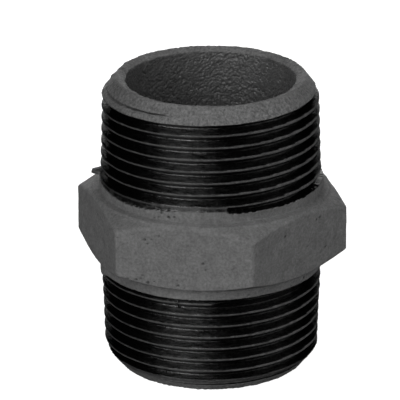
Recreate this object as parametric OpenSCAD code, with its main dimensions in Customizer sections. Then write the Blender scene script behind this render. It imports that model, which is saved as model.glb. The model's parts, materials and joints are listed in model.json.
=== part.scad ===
// Hexagon nipple: a malleable iron pipe fitting with an R 1 1/4 taper thread on each end.
// The real fitting is a single casting, bored through and threaded at both ends.
// It is drawn as five solid lengths of that casting, which meet on flat planes across its axis.
// The axis is Z, the lower end face lies on Z = 0, and two corners of the hexagon lie along X.

/* [Casting] */
// Length over the two end faces
overall_length = 57; // [54:0.5:64]
// Diameter of the cast bore
bore_diameter = 32.4; // [30:0.2:34]
// Diameter of the plain necks beside the hexagon
neck_diameter = 42.8; // [42.6:0.1:43.4]
// Radius of the hollow corner between a neck and the hexagon
neck_fillet = 1.5; // [0.5:0.1:2]

/* [Hexagon] */
// Width across the flats
hex_across_flats = 46; // [46:0.5:50]
// Height between the two shoulders
hex_height = 12; // [10:0.5:14]
// Height of the bevel that cuts back the six corners, above and below
corner_bevel = 1.8; // [0.5:0.1:3]

/* [Thread] */
// Length of each thread, from its end face to its neck
thread_length = 19.5; // [16:0.5:20]
// Diameter over the crests at the gauge plane
gauge_diameter = 41.91; // [41.8:0.01:42.1]
// Distance from an end face to its gauge plane
gauge_length = 12.7; // [10.4:0.1:15]
// Threads in 25.4 mm
threads_per_inch = 11; // [9:1:14]
// Height of the bevel at each end face
end_bevel = 3.2; // [1:0.1:4]
// Outer diameter of the flat ring left on each end face
end_face_diameter = 36.2; // [35:0.1:38]
// Angle at which the upper thread's crest runs into its end face
upper_start = 31; // [0:1:359]
// Angle at which the lower thread's crest runs into its end face
lower_start = 234; // [0:1:359]
// Flat steps around one turn of a thread
turn_steps = 72; // [24:12:72]

/* [Hidden] */

// Whitworth form on a taper of 1 in 16 across the diameter
pitch = 25.4 / threads_per_inch;
thread_depth = 0.640327 * pitch;
taper_slope = 1 / 32;
end_crest_r = gauge_diameter / 2 - gauge_length * taper_slope;
// One turn of the profile: where each point lies along the pitch, and whether it is at the root
profile = [[-1/12, 0], [1/12, 0], [5/12, 1], [7/12, 1]];
// Whole turns drawn before the end face and past the neck, which the envelope cuts away
spare_turns = 2;
turns = ceil(thread_length / pitch) + spare_turns + 1;
rows = turns * len(profile);

neck_r = neck_diameter / 2;
face_r = end_face_diameter / 2;
bevel_run = crest_r(end_bevel) - face_r;
corner_r = hex_across_flats / sqrt(3);
hex_bottom = (overall_length - hex_height) / 2;
hex_top = hex_bottom + hex_height;
neck_length = hex_bottom - thread_length;
// The corner bevel starts on the shoulder, over the middle of each flat
shoulder_r = hex_across_flats / 2;
bevel_slope = corner_bevel / (corner_r - shoulder_r);
// Tools reach this far past what they cut
over = 1;
fine = 96;
arc_steps = 8;
casting_grey = [0.32, 0.32, 0.33];
thread_black = [0.12, 0.12, 0.13];

function crest_r(z) = end_crest_r + z * taper_slope;

// A point on the thread, a given number of rows up and of steps round
function thread_point(step, row) =
    let (
        part = profile[row % len(profile)],
        z = pitch * (floor(row / len(profile)) - spare_turns + part[0] + step / turn_steps),
        r = crest_r(z) - part[1] * thread_depth,
        a = 360 * step / turn_steps
    )
    [r * cos(a), r * sin(a), z];

// Each column holds one row more than the last on every turn, so the first closes the spiral
function thread_index(step, row) =
    step == 0 ? row :
    step == turn_steps ? row + len(profile) :
    rows + len(profile) + (step - 1) * rows + row;

// A solid spiral bar that is longer than the thread at both ends
module spiral_bar() {
    n = len(profile);
    last = rows + n + (turn_steps - 1) * rows;
    points = concat(
        [for (row = [0 : rows + n - 1]) thread_point(0, row)],
        [for (step = [1 : turn_steps - 1], row = [0 : rows - 1]) thread_point(step, row)],
        [[0, 0, thread_point(0, 0)[2]], [0, 0, thread_point(0, rows + n - 1)[2]]]
    );
    sides = [
        for (step = [0 : turn_steps - 1], row = [0 : rows - 2])
            let (
                a = thread_index(step, row),
                b = thread_index(step + 1, row),
                c = thread_index(step + 1, row + 1),
                d = thread_index(step, row + 1)
            )
            each [[a, c, b], [a, d, c]]
    ];
    bottom = concat(
        [for (step = [0 : turn_steps - 1]) [last, thread_index(step, 0), thread_index(step + 1, 0)]],
        [for (row = [0 : n - 1]) [last, row + 1, row]]
    );
    top = concat(
        [for (step = [0 : turn_steps - 1])
            [last + 1, thread_index(step + 1, rows - 1), thread_index(step, rows - 1)]],
        [for (row = [rows - 1 : rows + n - 2]) [last + 1, row, row + 1]]
    );
    polyhedron(points = points, faces = concat(sides, bottom, top));
}

// The turned outline of a threaded end, with its face on Z = 0
module end_envelope() {
    wide = crest_r(thread_length) + over;
    rotate_extrude($fn = fine)
        polygon([
            [0, 0],
            [face_r, 0],
            [wide, end_bevel * (wide - face_r) / bevel_run],
            [wide, thread_length],
            [0, thread_length]
        ]);
}

module bore() {
    translate([0, 0, -over])
        cylinder(d = bore_diameter, h = overall_length + 2 * over, $fn = fine);
}

module threaded_end(start) {
    difference() {
        intersection() {
            end_envelope();
            rotate([0, 0, start]) spiral_bar();
        }
        bore();
    }
}

// A plain neck with its hollow fillet against a hexagon that lies below it
module neck() {
    difference() {
        rotate_extrude($fn = fine)
            polygon(concat(
                [[0, 0]],
                [for (i = [0 : arc_steps])
                    let (a = 90 * i / arc_steps)
                    [neck_r + neck_fillet * (1 - sin(a)), neck_fillet * (1 - cos(a))]],
                [[neck_r, neck_length], [0, neck_length]]
            ));
        bore();
    }
}

module hex_body() {
    color(casting_grey)
        difference() {
            intersection() {
                translate([0, 0, hex_bottom]) cylinder(r = corner_r, h = hex_height, $fn = 6);
                rotate_extrude($fn = fine)
                    polygon([
                        [0, hex_bottom],
                        [shoulder_r, hex_bottom],
                        [corner_r + over, hex_bottom + (corner_r + over - shoulder_r) * bevel_slope],
                        [corner_r + over, hex_top - (corner_r + over - shoulder_r) * bevel_slope],
                        [shoulder_r, hex_top],
                        [0, hex_top]
                    ]);
            }
            bore();
        }
}

module upper_neck() {
    color(casting_grey) translate([0, 0, hex_top]) neck();
}

module lower_neck() {
    color(casting_grey) translate([0, 0, hex_bottom]) mirror([0, 0, 1]) neck();
}

module upper_thread() {
    color(thread_black)
        translate([0, 0, overall_length]) rotate([180, 0, 0]) threaded_end(upper_start);
}

module lower_thread() {
    color(thread_black) threaded_end(lower_start);
}

hex_body();
upper_neck();
lower_neck();
upper_thread();
lower_thread();
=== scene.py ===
"""Hexagon nipple in black malleable iron, with a taper thread cut on each end.

The casting is drawn as one closed skin in polar form: rows of points run up the outside, in over the
upper end face, down the bore and out over the lower end face, and each row goes once round the axis.
The skin is then cut at the levels where the CAD nodes meet, so that each piece stands for one node.
Lengths are in millimetres until a mesh is made. Angles are measured from +X towards +Y.
"""

import itertools
import json
import math

import bpy
import numpy as np
from mathutils import Matrix, Vector


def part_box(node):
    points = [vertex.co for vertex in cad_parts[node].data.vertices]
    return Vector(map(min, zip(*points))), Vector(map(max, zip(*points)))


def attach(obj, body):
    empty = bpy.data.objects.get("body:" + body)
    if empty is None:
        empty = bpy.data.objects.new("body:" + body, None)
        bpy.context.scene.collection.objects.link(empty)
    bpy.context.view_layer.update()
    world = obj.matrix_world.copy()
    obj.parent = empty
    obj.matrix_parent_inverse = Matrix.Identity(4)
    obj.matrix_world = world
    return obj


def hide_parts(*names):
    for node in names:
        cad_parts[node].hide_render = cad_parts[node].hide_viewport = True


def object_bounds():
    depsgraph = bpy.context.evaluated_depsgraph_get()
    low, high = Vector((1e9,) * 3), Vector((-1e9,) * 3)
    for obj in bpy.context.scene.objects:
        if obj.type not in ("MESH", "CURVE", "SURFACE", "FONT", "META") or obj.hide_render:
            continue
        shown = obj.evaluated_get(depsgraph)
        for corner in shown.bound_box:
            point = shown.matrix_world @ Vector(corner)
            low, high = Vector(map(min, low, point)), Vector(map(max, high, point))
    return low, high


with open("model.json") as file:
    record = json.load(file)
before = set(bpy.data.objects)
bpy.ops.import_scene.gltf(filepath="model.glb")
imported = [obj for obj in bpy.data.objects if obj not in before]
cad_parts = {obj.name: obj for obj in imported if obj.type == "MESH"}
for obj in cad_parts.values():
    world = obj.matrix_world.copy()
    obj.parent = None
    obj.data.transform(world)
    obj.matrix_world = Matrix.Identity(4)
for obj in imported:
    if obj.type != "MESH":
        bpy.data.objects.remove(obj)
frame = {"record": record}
cad_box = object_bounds()

MM = 0.001


def box_mm(node):
    lo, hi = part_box(node)
    return np.array(lo) / MM, np.array(hi) / MM


# ---- Sizes from the frame ----
HEX_LO, HEX_HI = box_mm("hex_body")
CORNER_R, FLAT_R = HEX_HI[0], HEX_HI[1]
HEX_BOTTOM, HEX_TOP = HEX_LO[2], HEX_HI[2]
LOWER_NECK_Z = box_mm("lower_thread")[1][2]
UPPER_NECK_Z = box_mm("upper_thread")[0][2]
LENGTH = box_mm("upper_thread")[1][2]
BORE_R = next(m for m in frame["record"]["mounts"] if m["name"] == "bore")["dims"]["r_mm"]

# ---- The thread: R 1 1/4, right-hand, Whitworth form on a 1 in 16 taper ----
# A crest's phase is its height at angle 0, and the lean is the die's tilt towards LEAN_TOWARD.
# Both are in pitches.
PITCH = 25.4 / 11
THREAD_DEPTH = 0.640327 * PITCH
FORM_R = 0.137329 * PITCH
FLANK = math.radians(27.5)
TAPER = 1 / 32
END_CREST_R = 41.91 / 2 - 12.7 * TAPER
UPPER_CREST_PHASE, UPPER_LEAN = 0.769, 0.055
LOWER_CREST_PHASE, LOWER_LEAN = 0.351, -0.026
LEAN_TOWARD = math.radians(13)

# ---- The casting ----
END_FACE_R = 18.0
END_BEVEL, BEVEL_FOOT_R = 3.2, 18.1
END_BEVEL_SLOPE = (END_CREST_R + END_BEVEL * TAPER - BEVEL_FOOT_R) / END_BEVEL
END_LEAN = math.atan(END_BEVEL_SLOPE)
END_ROUND = 0.6
END_FLAT_R = END_FACE_R - END_ROUND * math.tan(math.pi / 4 - END_LEAN / 2)
ROUND_TOP = END_ROUND * (1 - math.sin(END_LEAN))
ROUND_TURN = math.pi / 2 - END_LEAN
FACE_DISH, DISH_CURVE = 0.5, 1.3
MOUTH_ROUND = 0.3
NECK_R = 21.4
CORNER_BEVEL = 1.8
CORNER_ROUND = 0.55
# How far the faces of the hexagon, and its corners with the necks, blend into each other
TOP_EDGE_BLEND, BOTTOM_EDGE_BLEND = 0.9, 0.35
TOP_NECK_BLEND, BOTTOM_NECK_BLEND = 1.2, 0.4
# The collar on the upper shoulder: its height, and how steeply its edge falls
SHOULDER_RISE, SHOULDER_STEP = 0.4, 6.0
UNDERSIDE_DROP, UNDERSIDE_SLOPE = 0.3, 5.0
# The flats are drawn this far inside the CAD's, so that their lumps don't pass it
SKIN_INSET = 0.09

# ---- Mesh density ----
COLUMNS = 640
THREAD_STEP = 0.12
HEX_STEP = 0.17
BORE_STEP = 0.17


# ---- Noise ----
def hashed(cell, seed):
    """A repeatable whole number for each lattice cell."""
    x, y, z = cell
    h = (x * 73856093) ^ (y * 19349663) ^ (z * 83492791) ^ (seed * 2654435)
    h = ((h ^ (h >> 13)) * 1274126177) & 0x7FFFFFFF
    return h ^ (h >> 15)


def noise(points, size, seed):
    """Gradient noise of about -1 to 1 whose lumps are size millimetres across."""
    p = points / size
    base = np.floor(p).astype(np.int64)
    f = p - base
    w = f * f * f * (f * (f * 6 - 15) + 10)
    total = np.zeros(p.shape[:-1])
    for corner in itertools.product((0, 1), repeat=3):
        h = hashed([base[..., k] + corner[k] for k in range(3)], seed)
        weight = np.ones_like(total)
        ramp = np.zeros_like(total)
        for k in range(3):
            weight *= w[..., k] if corner[k] else 1 - w[..., k]
            slope = ((h >> (10 * k)) & 1023) / 511.5 - 1
            ramp += slope * (f[..., k] - corner[k])
        total += weight * ramp
    return total * 1.6


def smooth_step(x, lo, hi):
    t = np.clip((x - lo) / (hi - lo), 0, 1)
    return t * t * (3 - 2 * t)


def smooth_min(a, b, blend):
    h = np.clip(0.5 + 0.5 * (b - a) / blend, 0, 1)
    return b + (a - b) * h - blend * h * (1 - h)


def smooth_max(a, b, blend):
    return -smooth_min(-a, -b, blend)


def turn_offset(angle, centre):
    """The angle from centre, in -pi to pi."""
    return (angle - centre + math.pi) % (2 * math.pi) - math.pi


# ---- Shapes: each is the radius at an angle and a height ----
def prism_radius(angle):
    """The hexagon's sides, with rounded upright corners on X and every 60 degrees from it."""
    flat = FLAT_R - SKIN_INSET
    off_flat = (angle % (math.pi / 3)) - math.pi / 6
    side = flat / np.cos(off_flat)
    centre = (flat - CORNER_ROUND) / math.cos(math.pi / 6)
    off_corner = math.pi / 6 - np.abs(off_flat)
    reach = CORNER_ROUND**2 - (centre * np.sin(off_corner)) ** 2
    rounded = centre * np.cos(off_corner) + np.sqrt(np.maximum(reach, 0))
    tangent = math.atan((flat - CORNER_ROUND) * math.tan(math.pi / 6) / flat)
    return np.where(np.abs(off_flat) > tangent, rounded, side)


def body_radius(angle, z):
    """The hexagon with its turned bevels, and the round neck that it stands on above and below."""
    slope = CORNER_BEVEL / (CORNER_R - FLAT_R)
    flat = FLAT_R - SKIN_INSET
    prism = prism_radius(angle)
    fall = HEX_TOP - z
    shoulder = np.minimum(0.5 * fall, SHOULDER_STEP * (fall + SHOULDER_RISE)) * (fall < 0)
    above = smooth_min(prism, flat + np.where(fall > 0, fall / slope, shoulder), TOP_EDGE_BLEND)
    above = smooth_max(above, NECK_R, TOP_NECK_BLEND)
    rise = z - HEX_BOTTOM + UNDERSIDE_DROP
    below = smooth_min(prism, flat + rise / slope, BOTTOM_EDGE_BLEND)
    below = smooth_min(below, flat + rise * UNDERSIDE_SLOPE, BOTTOM_EDGE_BLEND)
    below = smooth_max(below, NECK_R, BOTTOM_NECK_BLEND)
    return np.where(z > (HEX_TOP + HEX_BOTTOM) / 2, above, below)


def end_bevel_radius(s):
    """The turned end, s above its face: a bevel that rounds over into the flat face."""
    inward = END_ROUND - np.minimum(s, ROUND_TOP)
    rounded = END_FLAT_R + np.sqrt(np.maximum(END_ROUND**2 - inward**2, 0))
    return np.where(s < ROUND_TOP, rounded, END_FACE_R + s * END_BEVEL_SLOPE)


def crest_radius(s):
    return END_CREST_R + s * TAPER


def form_depth(t):
    """Depth of the thread form, at t pitches from the middle of a crest."""
    x = np.abs(t) * PITCH
    foot = FORM_R * math.cos(FLANK)
    crest = FORM_R - np.sqrt(np.maximum(FORM_R**2 - np.minimum(x, foot) ** 2, 0))
    y = PITCH / 2 - x
    root = THREAD_DEPTH - FORM_R + np.sqrt(np.maximum(FORM_R**2 - np.minimum(y, foot) ** 2, 0))
    flank = FORM_R * (1 - math.sin(FLANK)) + (x - foot) / math.tan(FLANK)
    return np.where(x < foot, crest, np.where(y < foot, root, flank))


# ---- Where the cutting die stopped ----
# Turns are counted up from the lower end face, and the run-out's angles are in degrees.
FIRST_GROOVE = 15
LAST_FULL_CREST = 22
UPPER_STOP, UPPER_STEP = 37.05, 0.45
LOWER_STOP, LOWER_TILT = 19.5, 0.25
TORN_TURNS = 7.5, 8.8
RUNOUT_ANGLES = [60, 150, 180, 193, 200, 215, 235, 254]
RUNOUT_LIFTS = [0, 0.68, 0.60, 0.53, 0.48, 0.42, 0.33, 0.25]
LAST_LIFT = 0.4
GROOVE_START = math.radians(-69)


def bump(angle, centre, half_width):
    """1 at the centre angle, falling smoothly to 0 at half_width degrees to either side."""
    off = np.abs(turn_offset(angle, math.radians(centre)))
    return 1 - smooth_step(off, 0, math.radians(half_width))


def upper_stop(angle, rough):
    """Height of the ragged line at which the die's face came to rest above the hexagon."""
    ragged = bump(angle, -125, 48)
    past_start = turn_offset(angle, GROOVE_START)
    level = UPPER_STOP + UPPER_STEP * (1 - smooth_step(past_start, 0, 0.01))
    level = level - UPPER_STEP * smooth_step(np.abs(past_start), 2.0, 3.0)
    return level - 0.9 * ragged + rough * (0.04 + 0.35 * ragged)


def lower_stop(angle, rough):
    """The same line below the hexagon, which dips where the last turn was never cut."""
    dip = 1.4 * bump(angle, -160, 18)
    return LOWER_STOP + LOWER_TILT * np.cos(turn_offset(angle, math.radians(-27))) - dip + 0.06 * rough


def upper_turns(angle, z):
    """Turns of the upper spiral below this place, as if it ran on down to the lower end face."""
    around = (angle - GROOVE_START) % (2 * math.pi) + GROOVE_START
    tilt = UPPER_LEAN * np.cos(turn_offset(angle, LEAN_TOWARD))
    return z / PITCH - around / (2 * math.pi) - UPPER_CREST_PHASE - tilt


def runout_lift(angle, z):
    """How far the groove rises out of the metal over its last turn, on the end bevel."""
    around = (angle - GROOVE_START) % (2 * math.pi) + GROOVE_START
    turns = upper_turns(angle, z)
    lift = np.interp(np.degrees(around), RUNOUT_ANGLES, RUNOUT_LIFTS)
    lift = np.where(turns > LAST_FULL_CREST + 1, LAST_LIFT, lift)
    return np.where(turns > LAST_FULL_CREST, lift, 0)


def upper_thread(angle, z, stop):
    """Radius that the upper die leaves, and no limit where it never reached."""
    turns = upper_turns(angle, z)
    depth = np.maximum(form_depth(turns - np.round(turns)) - runout_lift(angle, z), 0)
    radius = crest_radius(LENGTH - z) - depth
    return np.where((turns > FIRST_GROOVE) & (z > stop), radius, np.inf)


def lower_thread(angle, z, stop):
    """Radius that the lower die leaves. Its last crest is torn away along part of the turn."""
    signed = turn_offset(angle, 0)
    tilt = LOWER_LEAN * np.cos(turn_offset(angle, LEAN_TOWARD))
    turns = z / PITCH - signed / (2 * math.pi) - LOWER_CREST_PHASE - tilt
    depth = form_depth(turns - np.round(turns))
    torn = smooth_step(bump(angle, -17, 65), 0, 0.12) * (turns > TORN_TURNS[0]) * (turns < TORN_TURNS[1])
    rise = np.maximum(turns - TORN_TURNS[0], 0) * PITCH
    below_stop = np.maximum(stop - z, 0)
    depth = np.maximum(depth, torn * THREAD_DEPTH * below_stop / (rise + below_stop + 1e-6))
    return np.where(z < stop, crest_radius(z) - depth, np.inf)


def skin_height(points, bore):
    """How far the cast skin stands off its design surface, before it is cut."""
    slow = 0.07 * noise(points, 7.0, 11) + 0.04 * noise(points, 2.4, 12)
    fine = 0.03 * noise(points, 0.9, 13)
    squat = points * (1, 1, 1.6)
    swirl = noise(squat, 0.75, 14) + 0.6 * noise(squat, 0.42, 15)
    wrinkles = 0.34 * (0.4 - np.abs(swirl)) + 0.08 * noise(points, 0.45, 18)
    return slow + fine * (1 - bore) + wrinkles * bore


PIT_SEED, PIT_COUNT = 7, 110
# Blow holes that stand in known places: angle in degrees, height, radius
MARKED_PITS = [
    (-103, 36.6, 0.30), (-99, 35.9, 0.34), (-96, 36.1, 0.26), (-107, 35.4, 0.2),
    (-108, 31.7, 0.34), (-107, 31.0, 0.24), (-105, 31.9, 0.22), (-88, 31.2, 0.2),
    (-18.7, 32.4, 0.3), (-16.5, 32.6, 0.24), (-25, 27.8, 0.24), (-62, 23.4, 0.26),
    (-112, 23.6, 0.3), (-110, 23.9, 0.26), (-107, 23.2, 0.3), (-104, 23.5, 0.22),
]


def make_pits():
    """Blow holes in the skin: the angle, height, radius and depth of each."""
    random = np.random.RandomState(PIT_SEED)
    angles = random.uniform(0, 2 * math.pi, PIT_COUNT)
    levels = random.uniform(19.5, 38, PIT_COUNT)
    radii = random.uniform(0.16, 0.42, PIT_COUNT) ** 1.2
    depths = random.uniform(0.4, 0.9, PIT_COUNT) * radii
    marked = [(math.radians(turn), level, radius, radius) for turn, level, radius in MARKED_PITS]
    return list(zip(angles, levels, radii, depths)) + marked


def pit_depth(angle, z, ragged):
    """How deep the blow holes go. Their edges are ragged."""
    deep = np.zeros_like(z)
    for turn, level, radius, depth in make_pits():
        around = turn_offset(angle, turn) * FLAT_R
        near = np.hypot(around, z - level) / (radius * (1 + 0.35 * ragged))
        deep = np.maximum(deep, depth * (1 - smooth_step(near, 0.2, 1.0)))
    return deep


# ---- The whole skin as one grid ----
def stretch(start, end, step):
    """Even values from start up to but not including end, about step apart."""
    return np.linspace(start, end, math.ceil(abs(end - start) / step), endpoint=False)


lip = END_ROUND * (1 - np.cos(np.linspace(0, ROUND_TURN, 10)))
outer_z = np.concatenate([
    lip[:-1],
    stretch(lip[-1], LOWER_NECK_Z, THREAD_STEP),
    stretch(LOWER_NECK_Z, HEX_BOTTOM, THREAD_STEP),
    stretch(HEX_BOTTOM, HEX_TOP, HEX_STEP),
    stretch(HEX_TOP, UPPER_NECK_Z, THREAD_STEP),
    stretch(UPPER_NECK_Z, LENGTH - lip[-1], THREAD_STEP),
    LENGTH - lip[::-1],
])
dish_run = np.linspace(0, 1, 9)[1:]
mouth_turn = np.linspace(0, math.pi / 2, 6)[1:]
mouth_z = np.concatenate([
    FACE_DISH * dish_run**DISH_CURVE,
    FACE_DISH + MOUTH_ROUND * (1 - np.cos(mouth_turn)),
])
mouth_r = np.concatenate([
    END_FLAT_R - BORE_R + (MOUTH_ROUND - END_FLAT_R + BORE_R) * dish_run,
    MOUTH_ROUND * (1 - np.sin(mouth_turn)),
])
bore_z = np.concatenate([
    LENGTH - mouth_z[:-1],
    stretch(LENGTH - mouth_z[-1], UPPER_NECK_Z, BORE_STEP),
    stretch(UPPER_NECK_Z, HEX_TOP, BORE_STEP),
    stretch(HEX_TOP, HEX_BOTTOM, BORE_STEP),
    stretch(HEX_BOTTOM, LOWER_NECK_Z, BORE_STEP),
    stretch(LOWER_NECK_Z, mouth_z[-1], BORE_STEP),
    mouth_z[::-1],
])
bore_flare = np.interp(np.minimum(bore_z, LENGTH - bore_z), mouth_z, mouth_r)

OUTER, BORE = 0, 1
kinds = np.repeat([OUTER, BORE], [len(outer_z), len(bore_z)])
heights = np.concatenate([outer_z, bore_z])
plain_r = np.concatenate([outer_z * 0, BORE_R + bore_flare])

angle = np.arange(COLUMNS) * 2 * math.pi / COLUMNS
angle, height = np.meshgrid(angle, heights)
kind = np.repeat(kinds[:, None], COLUMNS, axis=1)


def polar(radius):
    return np.stack([radius * np.cos(angle), radius * np.sin(angle), height], axis=-1)


def grid_normals(points):
    along = np.roll(points, -1, axis=1) - np.roll(points, 1, axis=1)
    across = np.roll(points, -1, axis=0) - np.roll(points, 1, axis=0)
    normal = np.cross(along, across)
    return normal / np.linalg.norm(normal, axis=-1, keepdims=True)


def band(value, centre, half_width):
    """A soft ridge of 1 along one value, which fades to 0 on both sides."""
    return np.exp(-(((value - centre) / half_width) ** 2))


outside = kind == OUTER
end_s = np.minimum(height, LENGTH - height)
reference = polar(np.where(outside, NECK_R, plain_r[:, None]))
rough = noise(reference, 1.1, 21) + 0.6 * noise(reference, 0.5, 22)
stop_up = upper_stop(angle, rough)
stop_low = lower_stop(angle, rough)
STOP_EDGE = 0.12
turned = np.maximum(
    smooth_step(height, stop_up - STOP_EDGE, stop_up + STOP_EDGE),
    1 - smooth_step(height, stop_low - STOP_EDGE, stop_low + STOP_EDGE),
)
bore_mask = np.where(outside, 0, smooth_step(end_s, FACE_DISH, FACE_DISH + 0.4))
end_mask = np.where(end_s < END_BEVEL + 0.2, 1 - bore_mask, 0)

# ---- The casting, with its ends turned to the size of the crests ----
UPPER_CREST_FLAT, LOWER_CREST_FLAT = 0.13, 0.08
BEVEL_REACH = 6


def blank_radius():
    """Radius before the threads are cut. The crests come out widest where the blank was smallest."""
    flatter = bump(angle, -5, 88) * np.where(height > LENGTH / 2, UPPER_CREST_FLAT, LOWER_CREST_FLAT)
    trim = 0.012 + 0.012 * noise(reference, 1.6, 23) + flatter * (1 + 0.5 * noise(reference, 0.9, 25))
    crest = crest_radius(end_s) - trim
    radius = body_radius(angle, height) * (1 - turned) + crest * turned
    return np.where(end_s < BEVEL_REACH, np.minimum(radius, end_bevel_radius(end_s)), radius)


blank = blank_radius()
cut_radius = np.minimum(upper_thread(angle, height, stop_up), lower_thread(angle, height, stop_low))
cut_radius = cut_radius + 0.012 * noise(reference, 0.6, 24)
pits = np.where(outside, pit_depth(angle, height, rough), 0) * (1 - turned)


def rough_skin():
    """The blank's points with lumps, grit and blow holes, and a bore mouth that isn't quite round."""
    plain = polar(np.where(outside, blank, plain_r[:, None]))
    grit = 0.08 * noise(reference, 0.8, 26) + 0.05 * noise(reference, 0.45, 28)
    relief = skin_height(reference, bore_mask) - pits + end_mask * grit
    skin = plain + grid_normals(plain) * relief[..., None]
    wave = 0.2 * noise(reference, 3.2, 16) + 0.1 * noise(reference, 1.3, 17)
    wave = np.where(outside, 0, wave * band(end_s, FACE_DISH, 0.5))
    return np.hypot(skin[..., 0], skin[..., 1]) + wave, skin[..., 2]


# ---- Marks left by handling and by the die ----
BURR_ANGLE, BURR_STAND = 190, 1.5
NICK_ANGLE, NICK_WIDTH, NICK_DEPTH = -95, 0.17, 0.35
# Small teeth on the upper end bevel: angle in degrees, height, size
END_TEETH = ((166, 56.8, 0.32), (183, 56.0, 0.36), (193, 54.3, 0.3))


def burr_mask():
    """1 on a tab of torn metal above the hexagon, which slants down outwards."""
    aside = np.degrees(np.abs(turn_offset(angle, math.radians(BURR_ANGLE)))) + 0.9 * rough
    under = smooth_step(height + 0.1 * rough, 37.0, 37.35)
    over = 1 - smooth_step(height + 0.15 * rough, 37.45, 38.7)
    return (1 - smooth_step(aside, 2.4, 4.6)) * under * over * outside


def with_marks(radius):
    """The radius with the burr, the teeth and a nick across the lower thread's last crests."""
    radius = radius * (1 - burr) + np.maximum(radius, NECK_R + BURR_STAND) * burr
    for turn, level, size in END_TEETH:
        radius = radius + size * bump(angle, turn, 4) * band(height, level, 0.45) * outside
    nick = band(turn_offset(angle, math.radians(NICK_ANGLE)) * NECK_R, 0, NICK_WIDTH)
    nick = nick * smooth_step(height, 17.0, 17.4) * (1 - smooth_step(height, 18.9, 19.3)) * outside
    return radius - NICK_DEPTH * nick


# ---- Masks for the material ----
SCRAPED_TOP = 38.6
LEDGE = 36, 38.7


def cut_mask():
    """1 on cut metal, 0 on casting skin, and between them where the die only scraped or ran out."""
    groove = np.where(outside, smooth_step(blank - cut_radius, 0.0, 0.03), 0)
    uncut = (height < SCRAPED_TOP) * np.isinf(cut_radius)
    scraped = uncut * smooth_step(height, stop_up - 0.1, stop_up + 0.1)
    before_groove = 1 - smooth_step(upper_turns(angle, height), FIRST_GROOVE - 0.14, FIRST_GROOVE - 0.1)
    scraped = scraped * smooth_step(rough, -0.8, 0.0) * before_groove
    mask = np.maximum(groove, 0.9 * scraped)
    mask = mask * (1 - 0.7 * smooth_step(runout_lift(angle, height), 0.2, 0.5))
    # The step at the foot of the last groove is cut metal too
    ledge = (height > LEDGE[0]) & (height < LEDGE[1])
    mask = np.where(ledge, np.maximum(mask, np.roll(mask, -1, axis=0)), mask)
    return mask * (1 - smooth_step(burr, 0, 0.15))


def dirt_and_shade_mask():
    """How much the casting skin is darkened, from 0 to 1: partly dirt, partly painted shade and painted
    light.
    """
    # Painted shade in the blow holes, a darker burr, a darker band up the lower bevel, and darkened crests
    holes = np.clip(pits * 4 + smooth_step(burr, 0, 0.3) * 0.65, 0, 1)
    # Darker from about 2 mm to 4 mm up the lower bevel, starting lower on the left
    lower_bevel_dark = smooth_step(end_s + 0.35 * rough, 1.9 - 0.7 * bump(angle, -130, 60), 2.5) * (height < 4)
    # Crests darkened, less so towards -10 degrees (the right front), which is painted light, and more on
    # the left of the upper thread's lowest turns
    crests = 0.7 - 0.3 * bump(angle, -10, 75) + 0.25 * noise(reference, 0.8, 27)
    crests = crests + 0.3 * bump(angle, -130, 50) * (height > 36) * (height < 38.8)
    crests = np.clip(crests * turned * smooth_step(end_s, 2.9, 3.3) * outside, 0, 0.95)
    # Painted shade: one side of the bore, the upper bevel's left, the hollow above the hexagon, under the
    # last groove
    painted_bore_shade = (0.14 - 0.14 * bump(angle, 82, 45) + 0.25 * bump(angle, 165, 65)) * bore_mask
    left_bevel_shade = bump(angle, -155, 62) * 0.24 * outside * (end_s < 3.4) * (height > HEX_TOP)
    hollow_shade = 0.16 * band(height, HEX_TOP + 0.75, 0.35)
    groove_shade = 0.35 * bump(angle, -50, 26) * band(height, 36.5, 0.6)
    shaded = (hollow_shade + groove_shade) * outside
    return np.maximum.reduce([holes, 0.72 * lower_bevel_dark * outside, crests, painted_bore_shade + left_bevel_shade, shaded])


burr = burr_mask()
cut = cut_mask()
soot = dirt_and_shade_mask()
skin_radius, skin_z = rough_skin()
final_radius = with_marks(np.where(outside, np.minimum(skin_radius, cut_radius), skin_radius))
points = np.stack([
    final_radius * np.cos(angle),
    final_radius * np.sin(angle),
    skin_z * (1 - cut) + height * cut,
], axis=-1)
box_lo, box_hi = np.array(cad_box[0]) / MM, np.array(cad_box[1]) / MM
points = np.clip(points, box_lo, box_hi)
normals = grid_normals(points)


# ---- Cutting the skin into the five pieces ----
def level_row(want_kind, z):
    rows = np.flatnonzero(kinds == want_kind)
    return rows[np.argmin(np.abs(heights[rows] - z))]


def piece_rows(bottom, top):
    """The grid's rows round one piece, from the bottom up the outside and back down the bore."""
    total = len(kinds)
    if bottom <= 0:
        first = level_row(BORE, top)
        last = level_row(OUTER, top) + total
        return np.arange(first, last + 1) % total
    up = np.arange(level_row(OUTER, bottom), level_row(OUTER, top) + 1)
    if top >= LENGTH:
        return np.arange(up[0], level_row(BORE, bottom) + 1)
    down = np.arange(level_row(BORE, top), level_row(BORE, bottom) + 1)
    return np.concatenate([up, down])


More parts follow.
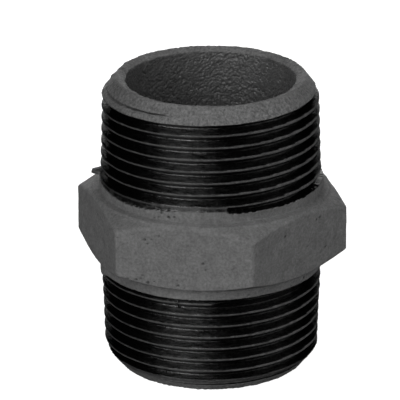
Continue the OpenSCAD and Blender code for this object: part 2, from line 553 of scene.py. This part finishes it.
def make_piece(name, node, bottom, top, material):
    """The closed length of the skin between two heights, standing for one CAD node."""
    rows = piece_rows(bottom, top)
    count = len(rows)
    r, c = np.meshgrid(np.arange(count), np.arange(COLUMNS), indexing="ij")
    r_next, c_next = (r + 1) % count, (c + 1) % COLUMNS
    this_row, next_row = r * COLUMNS, r_next * COLUMNS
    quads = np.stack([this_row + c, this_row + c_next, next_row + c_next, next_row + c], -1).reshape(-1, 4)
    mesh = bpy.data.meshes.new(name)
    mesh.vertices.add(count * COLUMNS)
    mesh.vertices.foreach_set("co", (points[rows] * MM).astype(np.float32).ravel())
    mesh.loops.add(quads.size)
    mesh.loops.foreach_set("vertex_index", quads.ravel().astype(np.int32))
    mesh.polygons.add(len(quads))
    mesh.polygons.foreach_set("loop_start", np.arange(0, quads.size, 4, dtype=np.int32))
    mesh.update(calc_edges=True)
    mesh.shade_smooth()
    loop_normals = normals[rows].reshape(-1, 3)[quads.ravel()].reshape(-1, 4, 3)
    # Where the rows jump from the outside to the bore, the piece is cut flat across the axis
    steps = np.diff(np.append(rows, rows[0]))
    joins = (np.abs(steps) != 1) & (np.abs(steps) != len(kinds) - 1)
    for join in np.flatnonzero(joins):
        facing = 1 if heights[rows[join]] > (bottom + top) / 2 else -1
        loop_normals[join * COLUMNS:(join + 1) * COLUMNS] = (0, 0, facing)
    mesh.normals_split_custom_set(loop_normals.reshape(-1, 3))
    for mask_name, values in (("cut", cut), ("soot", soot), ("bore", bore_mask), ("grit", end_mask)):
        mask = mesh.attributes.new(mask_name, "FLOAT", "POINT")
        mask.data.foreach_set("value", values[rows].astype(np.float32).ravel())
    mesh.materials.append(material)
    piece = bpy.data.objects.new(name, mesh)
    bpy.context.scene.collection.objects.link(piece)
    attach(piece, "root")
    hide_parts(node)
    return piece


# ---- Materials ----
class Nodes:
    """Short calls for building a node tree."""

    def __init__(self, tree):
        self.tree = tree

    def add(self, kind, inputs=None, **settings):
        node = self.tree.nodes.new(kind)
        for key, value in settings.items():
            setattr(node, key, value)
        for key, value in (inputs or {}).items():
            if isinstance(value, bpy.types.NodeSocket):
                self.tree.links.new(value, node.inputs[key])
            else:
                node.inputs[key].default_value = value
        return node

    def noise(self, where, size_mm, detail=2.0, rough=0.5):
        inputs = {"Vector": where, "Scale": 1 / (size_mm * MM), "Detail": detail, "Roughness": rough}
        return self.add("ShaderNodeTexNoise", inputs).outputs["Fac"]

    def spread(self, value, lo, hi, out_lo, out_hi):
        inputs = {"Value": value, "From Min": lo, "From Max": hi, "To Min": out_lo, "To Max": out_hi}
        return self.add("ShaderNodeMapRange", inputs).outputs["Result"]

    def math(self, operation, a, b=0.0):
        return self.add("ShaderNodeMath", {0: a, 1: b}, operation=operation).outputs[0]

    def grey(self, value):
        inputs = {"Red": value, "Green": value, "Blue": value}
        return self.add("ShaderNodeCombineColor", inputs).outputs[0]

    def mix(self, factor, a, b):
        return self.add("ShaderNodeMix", {0: factor, 2: a, 3: b}).outputs[0]


# The skin's grey, and the share of it left where the dirt and painted shade mask is 1
SKIN_GREY, DARKENED_SHARE = 0.10, 0.15
CUT_GREY = 0.0005
# The bore's skin is drawn at this share of the outside's grey: painted shade inside the bore
BORE_PAINTED_SHADE = 0.6
GLOSS_DRAWN_OUT, GLOSS_TURN = 0.85, 0.25


def iron(name):
    """Black malleable iron: matt grey casting skin, and black oiled metal where the cut mask is 1."""
    material = bpy.data.materials.new(name)
    material.use_nodes = True
    tree = material.node_tree
    tree.nodes.clear()
    n = Nodes(tree)
    where = n.add("ShaderNodeTexCoord").outputs["Object"]
    streaks_at = n.add("ShaderNodeMapping", {"Vector": where, "Scale": (0.09, 0.09, 1.0)}).outputs[0]
    ticks_at = n.add("ShaderNodeMapping", {"Vector": where, "Scale": (1.0, 1.0, 0.12)}).outputs[0]
    cut_metal, dirt_and_shade_here, bore, grit = [
        n.add("ShaderNodeAttribute", attribute_name=mask).outputs["Fac"]
        for mask in ("cut", "soot", "bore", "grit")
    ]

    # Colour: mottled and speckled skin, more so on the gritty ends
    mottle = n.noise(where, 2.4, 5.0, 0.65)
    speckle = n.noise(where, 0.5, 3.0, 0.7)
    dark_speck, light_speck = n.mix(grit, 0.72, 0.5), n.mix(grit, 1.28, 1.5)
    mottled = n.spread(mottle, 0.3, 0.7, 0.84, 1.16)
    shade = n.math("MULTIPLY", mottled, n.spread(speckle, 0.3, 0.7, dark_speck, light_speck))
    # The mask darkens the skin: dirt in places, painted shade in others; the bore is darker again as
    # painted shade
    dirt_and_shade_grey = n.spread(dirt_and_shade_here, 0, 1, SKIN_GREY, DARKENED_SHARE * SKIN_GREY)
    open_value = n.math("MULTIPLY", shade, dirt_and_shade_grey)
    skin_value = n.math("MULTIPLY", open_value, n.spread(bore, 0, 1, 1.0, BORE_PAINTED_SHADE))
    value = n.mix(cut_metal, skin_value, CUT_GREY)

    # Gloss: marks that the die drew round the thread, long and short
    streaks = n.noise(streaks_at, 0.16, 3.0, 0.6)
    long_marks = n.noise(streaks_at, 0.24, 4.0, 0.7)
    short_marks = n.noise(where, 0.4, 3.0, 0.7)
    marks = n.math("ADD", n.math("MULTIPLY", long_marks, 0.6), n.math("MULTIPLY", short_marks, 0.4))
    shine = n.mix(cut_metal, 0.5, n.spread(marks, 0.38, 0.62, 0.1, 1.25))
    skin_rough = n.mix(bore, n.spread(speckle, 0.3, 0.7, 0.75, 0.6), 0.3)
    cut_rough = n.spread(streaks, 0.3, 0.7, 0.26, 0.4)
    roughness = n.mix(cut_metal, skin_rough, cut_rough)

    # Bump: grain on the skin, streaks and upright ticks on the cut metal
    grain = n.noise(where, 0.45, 4.0, 0.65)
    ticks = n.noise(ticks_at, 0.7, 4.0, 0.75)
    tooling = n.math("ADD", n.math("MULTIPLY", streaks, 0.012 * MM), n.math("MULTIPLY", ticks, 0.12 * MM))
    grain_height = n.mix(grit, 0.16 * MM, 0.24 * MM)
    relief = n.mix(cut_metal, n.math("MULTIPLY", grain, grain_height), tooling)
    bumped = n.add("ShaderNodeBump", {"Height": relief, "Strength": 1.0, "Distance": 1.0})

    tangent = n.add("ShaderNodeTangent", direction_type="RADIAL", axis="Z")
    shader = n.add("ShaderNodeBsdfPrincipled", {
        "Base Color": n.grey(value),
        "Roughness": roughness,
        "Normal": bumped.outputs["Normal"],
        "Tangent": tangent.outputs["Tangent"],
        "Specular IOR Level": shine,
        "Anisotropic": GLOSS_DRAWN_OUT,
        "Anisotropic Rotation": GLOSS_TURN,
    })
    out = n.add("ShaderNodeOutputMaterial")
    tree.links.new(shader.outputs["BSDF"], out.inputs["Surface"])
    return material


cast_skin = iron("cast_skin")
cut_thread = iron("cut_thread")
make_piece("lower_thread_skin", "lower_thread", 0, LOWER_NECK_Z, cut_thread)
make_piece("lower_neck_skin", "lower_neck", LOWER_NECK_Z, HEX_BOTTOM, cast_skin)
make_piece("hex_body_skin", "hex_body", HEX_BOTTOM, HEX_TOP, cast_skin)
make_piece("upper_neck_skin", "upper_neck", HEX_TOP, UPPER_NECK_Z, cast_skin)
make_piece("upper_thread_skin", "upper_thread", UPPER_NECK_Z, LENGTH, cut_thread)


# ---- Floor, world and lights ----
FLOOR_HALF, FLOOR_DROP = 3.0, 0.02 * MM
FLOOR_GREY, FLOOR_GLOW = 0.4, 0.93
WORLD_GLOW, WORLD_FILL = 1.0, 0.1
LIGHT_DISTANCE = 1.2


def direction(azimuth, elevation):
    """Towards a place round the object: azimuth 0 is -Y and 90 is +X, in degrees."""
    a, e = math.radians(azimuth), math.radians(elevation)
    return Vector((math.sin(a) * math.cos(e), -math.cos(a) * math.cos(e), math.sin(e)))


def make_floor():
    """A plain pale floor, which glows so that it is as white as the world behind it."""
    half = FLOOR_HALF
    mesh = bpy.data.meshes.new("floor")
    corners = [(-half, -half, 0), (half, -half, 0), (half, half, 0), (-half, half, 0)]
    mesh.from_pydata(corners, [], [(0, 1, 2, 3)])
    material = bpy.data.materials.new("floor")
    material.use_nodes = True
    tree = material.node_tree
    tree.nodes.clear()
    n = Nodes(tree)
    paper = n.add("ShaderNodeBsdfDiffuse", {"Color": (FLOOR_GREY, FLOOR_GREY, FLOOR_GREY, 1)})
    glow = n.add("ShaderNodeEmission", {"Color": (1, 1, 1, 1), "Strength": FLOOR_GLOW})
    both = n.add("ShaderNodeAddShader", {0: paper.outputs[0], 1: glow.outputs[0]})
    out = n.add("ShaderNodeOutputMaterial", {"Surface": both.outputs[0]})
    mesh.materials.append(material)
    floor = bpy.data.objects.new("floor", mesh)
    floor.location.z = -FLOOR_DROP
    floor.visible_diffuse = False
    floor.visible_glossy = False
    bpy.context.scene.collection.objects.link(floor)


def softbox(name, azimuth, elevation, width, height, watts, glossy=True):
    """A soft light aimed at the object's middle. Without glossy, it makes no highlights."""
    light = bpy.data.lights.new(name, "AREA")
    light.shape = "RECTANGLE"
    light.size, light.size_y = width, height
    light.energy = watts
    lamp = bpy.data.objects.new(name, light)
    toward = direction(azimuth, elevation)
    centre = Vector((0, 0, LENGTH / 2 * MM))
    lamp.location = centre + toward * LIGHT_DISTANCE
    lamp.rotation_mode = "QUATERNION"
    lamp.rotation_quaternion = toward.to_track_quat("Z", "Y")
    lamp.visible_glossy = glossy
    lamp.visible_camera = False
    bpy.context.scene.collection.objects.link(lamp)


make_floor()
softbox("key", -19, 25, 0.42, 1.2, 12.3)
softbox("right_fill", 53, 18, 0.7, 0.7, 5.6, glossy=False)
softbox("right_sheen", 80, 20, 0.9, 0.9, 1.6)
softbox("right_top", 103, 45, 0.7, 0.7, 3.6, glossy=False)
softbox("left_fill", -67, 18, 0.7, 0.7, 3.1, glossy=False)
softbox("back_key", 193, 8, 0.4, 1.2, 4.0)

world = bpy.data.worlds.new("studio")
world.use_nodes = True
world.node_tree.nodes["Background"].inputs["Color"].default_value = (1, 1, 1, 1)
sky = Nodes(world.node_tree)
seen = sky.add("ShaderNodeLightPath").outputs["Is Camera Ray"]
glow = sky.spread(seen, 0, 1, WORLD_FILL, WORLD_GLOW)
world.node_tree.links.new(glow, world.node_tree.nodes["Background"].inputs["Strength"])
bpy.context.scene.world = world
world.cycles_visibility.glossy = False
bpy.context.scene.view_settings.view_transform = "Standard"

# ---- Camera ----
CAMERA_AZIMUTH, CAMERA_ELEVATION, CAMERA_ROLL = 13, 20.933, -0.257
CAMERA_DISTANCE = 675.0
CAMERA_LENS, CAMERA_SENSOR = 317.0, 36
CAMERA_TARGET = Vector((-2.08, -0.48, 31.75))
back = direction(CAMERA_AZIMUTH, CAMERA_ELEVATION)
camera_data = bpy.data.cameras.new("camera")
camera_data.sensor_width = CAMERA_SENSOR
camera_data.lens = CAMERA_LENS
camera_data.clip_start, camera_data.clip_end = 0.01, 20
camera = bpy.data.objects.new("camera", camera_data)
side = Vector((0, 0, 1)).cross(back).normalized()
above = back.cross(side)
roll = math.radians(CAMERA_ROLL)
right = side * math.cos(roll) + above * math.sin(roll)
up = above * math.cos(roll) - side * math.sin(roll)
turned_axes = Matrix((right, up, back)).transposed()
camera.rotation_mode = "QUATERNION"
camera.rotation_quaternion = turned_axes.to_quaternion()
camera.location = (CAMERA_TARGET + back * CAMERA_DISTANCE) * MM
bpy.context.scene.collection.objects.link(camera)
bpy.context.scene.camera = camera
